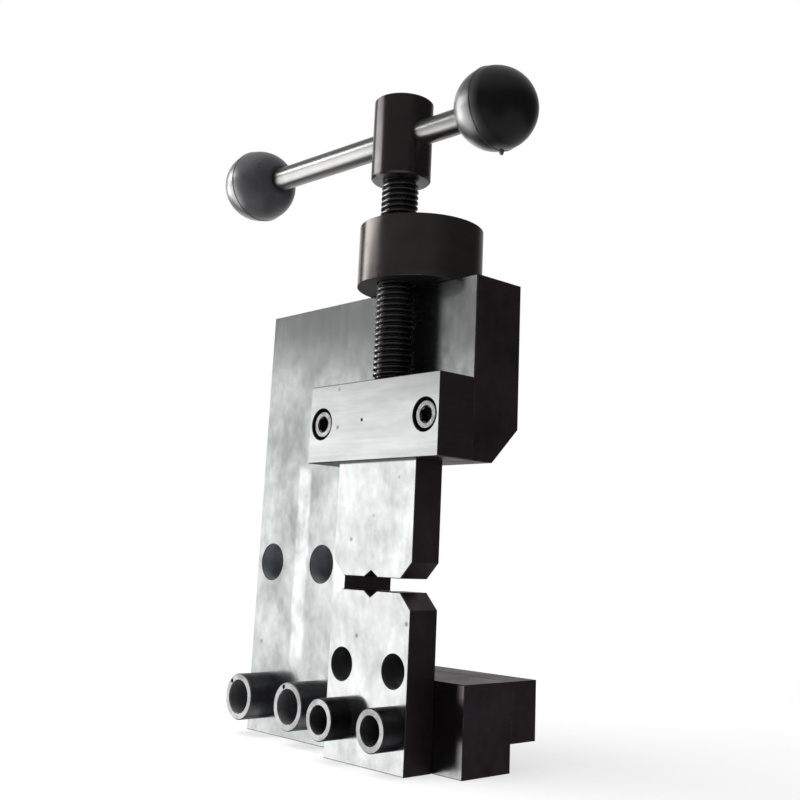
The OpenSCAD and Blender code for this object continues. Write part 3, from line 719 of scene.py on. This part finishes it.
# Ball knobs
def knob_mesh(name, place, down):
    """Ball that closes round the bar, with a moulding ridge round its middle and a stub of its sprue on that."""
    ridge_half, ridge_high, ridge_top, lip_r = 0.3, 0.2, 0.7, BAR_R + 0.05
    lip_seat, lip_face = -KNOB_FLAT - 0.02, -KNOB_FLAT - 0.12
    lip_angle = math.acos(lip_face / KNOB_R)
    ridge_angle = math.acos(ridge_half / KNOB_R)
    rise = 40
    below = [lip_angle + (math.pi - ridge_angle - lip_angle) * i / rise for i in range(rise + 1)]
    above = [ridge_angle * (1 - i / rise) for i in range(rise + 1)]
    profile = [(0, 1), (KNOB_HOLE_R, 1), (KNOB_HOLE_R, lip_seat), (lip_r, lip_seat), (lip_r, lip_face)]
    profile += [(KNOB_R * math.sin(a), KNOB_R * math.cos(a)) for a in below]
    profile += [(KNOB_R + ridge_high, -ridge_half * ridge_top), (KNOB_R + ridge_high, ridge_half * ridge_top)]
    profile += [(KNOB_R * math.sin(a), KNOB_R * math.cos(a)) for a in above]
    ball = turned_mesh(name, profile, place, steps=160)
    stub = turned_mesh(name + "_stub", [
        (0, -0.6), (NUB_R, -0.6), (NUB_R, 0.1), (NUB_R * 0.72, NUB_HIGH * 0.55),
        (NUB_R * 0.42, NUB_HIGH * 0.92), (0, NUB_HIGH)], down, steps=32)
    shape = bmesh.new()
    shape.from_mesh(ball)
    shape.from_mesh(stub)
    shape.to_mesh(ball)
    shape.free()
    return ball


for side, away, lean, finish in zip(SIDES, KNOB_PLACES, NUB_LEANS, knob_finishes):
    middle = along_bar(away)
    turn = turned_by(0 if side == "right" else math.pi, "X")
    leaned = Matrix.Translation(middle.translation) @ turned_by(BAR_TURN, "Z")
    leaned = leaned @ turned_by(math.pi + lean, "X") @ standing(0, 0, KNOB_R)
    put_in(knob_mesh(f"ball_{side}", middle @ turn, leaned), f"ball_knob_{side}", finish, "handle",
           "knob_plastic", f"knob_{side}")


# Geometry Nodes helpers

def new_tree(name, **inputs):
    """A Geometry Nodes tree whose inputs have the given kinds."""
    tree = bpy.data.node_groups.new(name, "GeometryNodeTree")
    tree.interface.new_socket("Geometry", in_out="INPUT", socket_type="NodeSocketGeometry")
    tree.interface.new_socket("Geometry", in_out="OUTPUT", socket_type="NodeSocketGeometry")
    for label, kind in inputs.items():
        tree.interface.new_socket(label.replace("_", " "), in_out="INPUT", socket_type="NodeSocket" + kind)
    return tree, add_node(tree, "NodeGroupInput").outputs, add_node(tree, "NodeGroupOutput")


def moved(tree, shape, by, turn=(0, 0, 0)):
    return add_node(tree, "GeometryNodeTransform", {
        "Geometry": shape, "Translation": by, "Rotation": turn}).outputs[0]


def joined(tree, *shapes):
    node = add_node(tree, "GeometryNodeJoinGeometry")
    for shape in shapes:
        tree.links.new(shape, node.inputs[0])
    return node.outputs[0]


def hand_out(tree, shape, finish, result):
    """Ends a tree with a real mesh that has the finish."""
    real = add_node(tree, "GeometryNodeRealizeInstances", {"Geometry": shape})
    coat = add_node(tree, "GeometryNodeSetMaterial", {"Geometry": real.outputs[0], "Material": finish})
    feed(tree, result, {0: coat.outputs[0]})
    return tree


def grown(tree, name, mesh, values):
    """Runs a tree on a mesh with its named inputs set, and gives the result as a plain mesh."""
    carrier = in_scene(name, mesh)
    modifier = carrier.modifiers.new("grow", "NODES")
    modifier.node_group = tree
    keys = {item.name: item.identifier for item in tree.interface.items_tree if item.in_out == "INPUT"}
    for label, value in values.items():
        modifier[keys[label]] = value
    result = evaluated_mesh(carrier)
    carrier.modifiers.clear()
    bpy.data.objects.remove(carrier)
    return result


def wind_thread_tree():
    """Winds a trapezoidal ridge round the core that comes in, fading out at both ends."""
    tree, given, result = new_tree("wind_thread", Root_Radius="Float", Depth="Float", Pitch="Float",
                                   Turns="Float", Foot="Vector", Finish="Material")
    steps_a_turn, fading, root_share, crest_share = 72, 0.012, 0.84, 0.2
    spiral = add_node(tree, "GeometryNodeCurveSpiral", {
        "Resolution": steps_a_turn, "Rotations": given["Turns"], "Start Radius": given["Root Radius"],
        "End Radius": given["Root Radius"], "Height": times(tree, given["Turns"], given["Pitch"]),
        "Reverse": True})
    upright = add_node(tree, "GeometryNodeSetCurveNormal", {"Curve": spiral.outputs[0]}, mode="Z_UP")
    along = add_node(tree, "GeometryNodeSplineParameter").outputs["Factor"]
    fade_in = ramped(tree, along, 0.0, fading, smooth=False)
    fade_out = ramped(tree, along, 1.0, 1.0 - fading, smooth=False)
    ridge = add_node(tree, "GeometryNodeCurvePrimitiveQuadrilateral", {
        "Bottom Width": times(tree, given["Pitch"], root_share), "Height": given["Depth"], "Offset": 0.0,
        "Top Width": times(tree, given["Pitch"], crest_share)}, mode="TRAPEZOID")
    lift = add_node(tree, "ShaderNodeCombineXYZ", {"X": times(tree, given["Depth"], 0.5)})
    stood = moved(tree, ridge.outputs[0], lift.outputs[0], (0, 0, math.radians(-90)))
    sweep = add_node(tree, "GeometryNodeCurveToMesh", {
        "Curve": upright.outputs[0], "Profile Curve": stood, "Fill Caps": True,
        "Scale": maths(tree, "MINIMUM", fade_in, fade_out)})
    thread = moved(tree, sweep.outputs[0], given["Foot"])
    return hand_out(tree, joined(tree, given["Geometry"], thread), given["Finish"], result)


def seat_screws_tree():
    """Seats a screw of the given head and shank at each point, each turned at random about its own axis."""
    tree, given, result = new_tree("seat_screws", Head="Object", Shank_Radius="Float", Shank_Length="Float",
                                   Facing="Vector", Seed="Int", Finish="Material")
    head = add_node(tree, "GeometryNodeObjectInfo", {"Object": given["Head"]}, transform_space="ORIGINAL")
    shank = add_node(tree, "GeometryNodeMeshCylinder", {
        "Vertices": 40, "Radius": given["Shank Radius"], "Depth": given["Shank Length"]}, fill_type="NGON")
    drop = add_node(tree, "ShaderNodeCombineXYZ", {"Z": times(tree, given["Shank Length"], -0.5)})
    screw = joined(tree, head.outputs["Geometry"], moved(tree, shank.outputs["Mesh"], drop.outputs[0]))
    spin = add_node(tree, "FunctionNodeRandomValue", {3: 2 * math.pi, "Seed": given["Seed"]}, data_type="FLOAT")
    about = add_node(tree, "FunctionNodeAxisAngleToRotation", {"Axis": UP, "Angle": spin.outputs[1]})
    facing = add_node(tree, "FunctionNodeEulerToRotation", {"Euler": given["Facing"]})
    turned = add_node(tree, "FunctionNodeRotateRotation", {
        "Rotation": facing.outputs[0], "Rotate By": about.outputs[0]}, rotation_space="LOCAL")
    seated = add_node(tree, "GeometryNodeInstanceOnPoints", {
        "Points": given["Geometry"], "Instance": screw, "Rotation": turned.outputs[0]})
    return hand_out(tree, seated.outputs[0], given["Finish"], result)


# Screw: a turned core with neck, groove, collars and spigot, and the thread wound on it
root_r = THREAD_R - THREAD_DEEP
screw_long = HUB_FOOT - SCREW_FOOT
spigot_top = screw_long + SPIGOT_HIGH
seat_gap, thread_foot, thread_over, thread_sunk = 0.04, 1.64, 0.3, 0.03
end_edge, collar_edge, collar_high, run_out = 0.5, 0.4, 1.0, 2.0
core_profile = [
    (0, -NECK_LONG), (NECK_R - end_edge, -NECK_LONG), (NECK_R, end_edge - NECK_LONG), (NECK_R, GROOVE_FOOT),
    (GROOVE_R, GROOVE_FOOT), (GROOVE_R, GROOVE_TOP), (NECK_R, GROOVE_TOP), (NECK_R, seat_gap),
    (THREAD_R - collar_edge, seat_gap), (THREAD_R, collar_edge), (THREAD_R, collar_high), (root_r, run_out),
    (root_r, screw_long), (SPIGOT_R, screw_long), (SPIGOT_R, spigot_top - end_edge),
    (SPIGOT_R - end_edge, spigot_top), (0, spigot_top),
]
core = turned_mesh("core", core_profile, standing(0, SCREW_Y, SCREW_FOOT))
spindle = grown(wind_thread_tree(), "spindle", core, {
    "Root Radius": (root_r - thread_sunk) * MM, "Depth": (THREAD_DEEP + thread_sunk) * MM,
    "Pitch": THREAD_PITCH * MM, "Turns": (screw_long - thread_foot + thread_over) / THREAD_PITCH,
    "Foot": (0, SCREW_Y * MM, (SCREW_FOOT + thread_foot) * MM), "Finish": thread_finish})
put_in(spindle, "threaded_spindle", thread_finish, "screw", "screw_steel", "lead_screw")


# Cap screws: one head with a hexagon socket, seated wherever the fixture is bolted
def cap_head():
    """Head with a rounded top edge, and a countersunk mouth over its socket."""
    here = Matrix.Identity(4)
    profile = [(0, 0), (HEAD_R, 0), (HEAD_R, 4.6), (4.9, 5.15), (4.7, 5.6), (4.4, HEAD_HIGH), (0, HEAD_HIGH)]
    mesh = turned_mesh("cap_head", profile, here, steps=96)
    socket = plug_mesh("socket", SOCKET_ACROSS / math.sqrt(3), SOCKET_FOOT, HEAD_HIGH + 1, here, steps=6)
    mouth = turned_mesh("mouth", [(0, 5.65), (2.6, 5.65), (3.5, 6.55), (0, 6.55)], here, steps=64)
    return bpy.data.objects.new("cap_head", cut_away(mesh, "cap_head", [socket, mouth]))


head_pattern = cap_head()
seat_screws = seat_screws_tree()
looks_back, looks_front, looks_up = (math.radians(-90), 0, 0), (math.radians(90), 0, 0), (0, 0, 0)
head_seat_back, head_seat_front = HEEL_BACK - HEAD_DROP, retainer_front + HEAD_DROP
# Each set's name, CAD node, seats, facing, shank length and seed
screw_sets = (
    ("heel_bolts", "heel_screws", [(x, head_seat_back, z) for x, z in HEEL_SCREWS], looks_back, 17.4, 3),
    ("jaw_bolts", "jaw_screws", [(x, head_seat_back, z) for x, z in JAW_SCREWS], looks_back, 36.4, 5),
    ("retainer_bolts", "retainer_screws", [(x, head_seat_front, RETAINER_SCREW_Z) for x in RETAINER_SCREWS],
     looks_front, 21.1, 7),
    ("nut_bolts", "nut_screws", [(x, 0, NUT_TOP - HEAD_DROP) for x in NUT_SCREWS], looks_up, 27.1, 9),
)
for name, node, seats, facing, shank, seed in screw_sets:
    points = bpy.data.meshes.new(name)
    points.from_pydata([(x * MM, y * MM, z * MM) for x, y, z in seats], [], [])
    bolts = grown(seat_screws, name, points, {
        "Head": head_pattern, "Shank Radius": SHANK_R * MM, "Shank Length": shank * MM, "Facing": facing,
        "Seed": seed, "Finish": screw_head_finish})
    put_in(bolts, name, screw_head_finish, "frame", "fastener_steel", node)
bpy.data.objects.remove(head_pattern)

# CAD nodes that stay as they are and get a finish
for node, finish in (("jaw_link_pins", bar_finish), ("hub_grub_screw", screw_head_finish),
                     ("knob_insert_left", turned_finish), ("knob_insert_right", turned_finish)):
    nodes[node].data.materials.clear()
    nodes[node].data.materials.append(finish)


# Stage: floor, studio light and camera

def sheet(name, corners, finish):
    mesh = bpy.data.meshes.new(name)
    mesh.from_pydata(corners, [], [(0, 1, 2, 3)])
    mesh.materials.append(finish)
    return in_scene(name, mesh)


def show(tree, shader):
    feed(tree, tree.nodes["Material Output"], {0: shader.outputs[0]})


def floor():
    """Pale floor that glows to the camera, fully so only away from the object."""
    reach, near, far, near_share = 6.0, 0.12, 0.5, 0.66
    finish, tree, surface = new_finish("floor_white")
    feed(tree, surface, {"Base Color": (0.86, 0.86, 0.87, 1), "Roughness": 0.9})
    rays = add_node(tree, "ShaderNodeLightPath").outputs
    seen = most(tree, rays["Is Camera Ray"], most(tree, rays["Is Glossy Ray"], rays["Is Transmission Ray"]))
    white = ramped(tree, vectors(tree, "LENGTH", object_place(tree)), near, far, near_share, 1.0)
    glow = add_node(tree, "ShaderNodeEmission", {"Color": (1, 1, 1, 1)})
    show(tree, add_node(tree, "ShaderNodeMixShader", {
        0: times(tree, seen, white), 1: surface.outputs[0], 2: glow.outputs[0]}))
    corners = [(-reach, -reach, 0), (reach, -reach, 0), (reach, reach, 0), (-reach, reach, 0)]
    plane = sheet("floor", corners, finish)
    plane.visible_glossy = False


def window_panel():
    """Tall panel at the front left, dimmer towards its top, which the ground faces mirror towards the camera."""
    away, turn, half_wide, low, high = 0.9, math.radians(66), 0.5, -0.6, 0.7
    full, dim_left, dim_right, pane_gain, low_pane_gain, slant = 4.0, 0.8, 0.2, 9.0, 1.5, 3.1
    way = Vector((-math.sin(turn), -math.cos(turn), 0))
    side = Vector((-math.cos(turn), math.sin(turn), 0))
    corners = [way * away + side * across * half_wide + Vector((0, 0, height))
               for across, height in ((-1, low), (1, low), (1, high), (-1, high))]
    finish, tree, surface = new_finish("window_glow")
    tree.nodes.remove(surface)
    across = vectors(tree, "DOT_PRODUCT", object_place(tree), tuple(side))
    height = object_axes(tree)["Z"]

    def faded(value, *ramps):
        """One where each ramp, from a place to another, has risen."""
        return times(tree, *[ramped(tree, value, start, end) for start, end in ramps])

    # Where the glow, its upper pane and its lower pane begin and end, in metres across the panel and up it
    left, right, foot = (-half_wide, -0.44), (0.25, 0.05), (low, -0.45)
    dimming, dim_across, slant_from = (0.22, 0.355), (-0.36, -0.16), 0.38
    pane_left, pane_right, pane_foot, pane_top = (-0.02, 0.08), (0.27, 0.13), (0.36, 0.4), (0.67, 0.6)
    low_left, low_right, low_foot, low_top = (-0.02, 0.06), (0.3, 0.2), (0.08, 0.16), (0.4, 0.32)
    level = ramped(tree, height, *dimming, full, ramped(tree, across, *dim_across, dim_left, dim_right))
    level = times(tree, level, faded(across, left, right), faded(height, foot))
    slanted = plus(tree, across, times(tree, minus(tree, height, slant_from), slant))
    pane = times(tree, faded(slanted, pane_left), faded(across, pane_right), faded(height, pane_foot, pane_top))
    low_pane = times(tree, faded(across, low_left, low_right), low_pane_gain, faded(height, low_foot, low_top))
    level = plus(tree, level, times(tree, plus(tree, pane, low_pane), pane_gain))
    show(tree, add_node(tree, "ShaderNodeEmission", {"Strength": level}))
    panel = sheet("window_panel", corners, finish)
    panel.visible_camera = False


def lamp(name, place, target, width, height, power):
    data = bpy.data.lights.new(name, "AREA")
    data.shape, data.size, data.size_y, data.energy = "RECTANGLE", width, height, power
    light = in_scene(name, data)
    light.location = place
    light.rotation_mode = "QUATERNION"
    light.rotation_quaternion = (Vector(target) - Vector(place)).to_track_quat("-Z", "Y")
    light.visible_camera = light.visible_glossy = False


def studio_world():
    """White for the camera. Mirrored, it is pale at the back left and dim towards the right and the camera."""
    world = bpy.data.worlds.new("studio")
    world.use_nodes = True
    tree = world.node_tree
    rays = add_node(tree, "ShaderNodeLightPath").outputs
    mirrored = most(tree, rays["Is Glossy Ray"], rays["Is Transmission Ray"])
    direction = add_node(tree, "ShaderNodeTexCoord").outputs["Generated"]
    plain_light = 0.5

    def towards(way, low, high, to_low, to_high):
        along = vectors(tree, "DOT_PRODUCT", direction, tuple(Vector(way).normalized()))
        return ramped(tree, along, low, high, to_low, to_high)

    back_left = towards((-0.77, 0.62, 0.05), 0.45, 0.92, 0.2, 0.75)
    rim = towards((-0.97, 0.25, 0.05), 0.85, 0.96, 0.0, 0.8)
    floor_seen = times(tree, towards(DOWN, 0.14, 0.42, 0.0, 0.45), towards(RIGHT, -0.4, 0.0, 0.0, 1.0))
    above_seen = times(tree, towards(UP, 0.42, 0.75, 0.0, 0.5), towards(RIGHT, -0.6, -0.2, 0.0, 1.0))
    pale = plus(tree, back_left, rim, most(tree, floor_seen, above_seen))
    back_right = most(tree, towards((0.72, 0.66, 0.1), 0.4, 0.85, 1.0, 0.5),
                      towards(DOWN, 0.14, 0.42, 0.0, 1.0))
    by_camera = towards((0.68, -0.62, -0.4), 0.85, 0.97, 1.0, 0.3)
    level = most(tree, times(tree, mirrored, pale, back_right, by_camera), rays["Is Camera Ray"])
    plain = minus(tree, 1.0, most(tree, mirrored, rays["Is Camera Ray"]))
    feed(tree, tree.nodes["Background"], {
        "Color": (1, 1, 1, 1), "Strength": plus(tree, level, times(tree, plain, plain_light))})
    bpy.context.scene.world = world


def camera():
    data = bpy.data.cameras.new("camera")
    data.sensor_width = 36.0
    data.lens = FOCAL_PIXELS * data.sensor_width / PHOTO_SIDE
    data.shift_x = 0.5 - CENTRE_COLUMN / PHOTO_SIDE
    data.shift_y = CENTRE_ROW / PHOTO_SIDE - 0.5
    data.clip_start, data.clip_end = 0.01, 50
    flat = math.cos(CAMERA_PITCH)
    ahead = Vector((-math.sin(CAMERA_YAW) * flat, math.cos(CAMERA_YAW) * flat, math.sin(CAMERA_PITCH)))
    level = Vector((math.cos(CAMERA_YAW), math.sin(CAMERA_YAW), 0))
    above = level.cross(ahead)
    right = level * math.cos(CAMERA_ROLL) + above * math.sin(CAMERA_ROLL)
    up = above * math.cos(CAMERA_ROLL) - level * math.sin(CAMERA_ROLL)
    eye = in_scene("camera", data)
    turn = Matrix((right, up, -ahead)).transposed().to_4x4()
    eye.matrix_world = Matrix.Translation(CAMERA_PLACE) @ turn
    bpy.context.scene.camera = eye


floor()
window_panel()
studio_world()
lamp("top_light", place=(-0.25, -0.35, 0.9), target=(0, 0, 0.1), width=0.7, height=0.7, power=9.0)
camera()
bpy.context.scene.view_settings.view_transform = "Standard"
